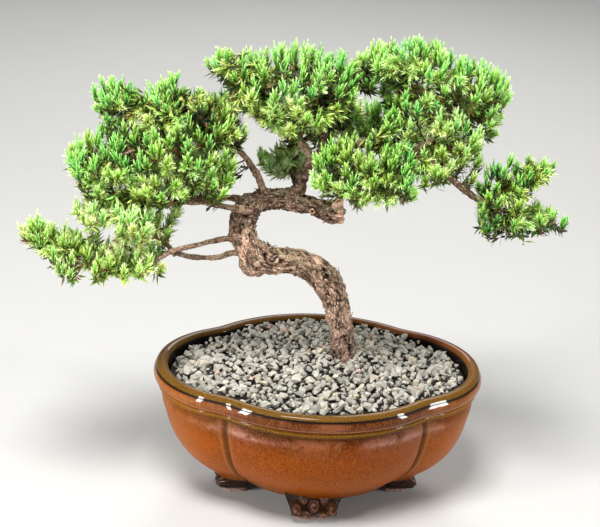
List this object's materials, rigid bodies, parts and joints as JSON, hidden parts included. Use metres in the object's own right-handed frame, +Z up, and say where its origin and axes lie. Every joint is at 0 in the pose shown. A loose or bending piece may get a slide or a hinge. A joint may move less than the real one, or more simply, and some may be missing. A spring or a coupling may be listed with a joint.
{
  "type": "japanese garden juniper bonsai",
  "caption": "Informal juniper bonsai with a crooked trunk and spreading foliage pads, in a four-lobed glazed pot on scroll feet with a gravel top dressing.",
  "frame": {"origin": "middle of the bottom of the bounding box, on the surface that the four feet stand on", "axes": "+X along the long axis of the pot, to the right as seen from the front; -Y towards the viewer; +Z up"},
  "size_m": [0.3654, 0.174, 0.3297],
  "materials": {
    "pot_glaze": "gloss",
    "screen_mesh": "matte",
    "clip_wire": "satin",
    "soil": "matte",
    "gravel": "matte",
    "bark": "matte",
    "foliage": "matte"
  },
  "bodies": {
    "root": {"pot": "pot_glaze", "drain_screen_left": "screen_mesh", "drain_screen_right": "screen_mesh", "screen_clip_left": "clip_wire", "screen_clip_right": "clip_wire", "soil": "soil", "gravel_top_dressing": "gravel", "trunk": "bark", "branch_right_main": "bark", "branch_crown_left": "bark", "branch_crown_middle": "bark", "branch_crown_right": "bark", "branch_right_upper": "bark", "branch_rising_left": "bark", "branch_high_left_rear": "bark", "branch_high_left_front": "bark", "branch_low_left_upper": "bark", "branch_low_left_lower": "bark", "branch_front": "bark", "branch_rear": "bark", "branch_rear_right": "bark", "branch_rear_left": "bark", "foliage_left_low": "foliage", "foliage_left_inner": "foliage", "foliage_left_middle": "foliage", "foliage_left_high": "foliage", "foliage_left_crest": "foliage", "foliage_left_front": "foliage", "foliage_crown_left": "foliage", "foliage_crown_right": "foliage", "foliage_front": "foliage", "foliage_right_middle": "foliage", "foliage_right_low": "foliage", "foliage_rear_tuft": "foliage", "foliage_rear_crown": "foliage", "foliage_rear_left": "foliage", "foliage_rear_right": "foliage"}
  },
  "joints": []
}
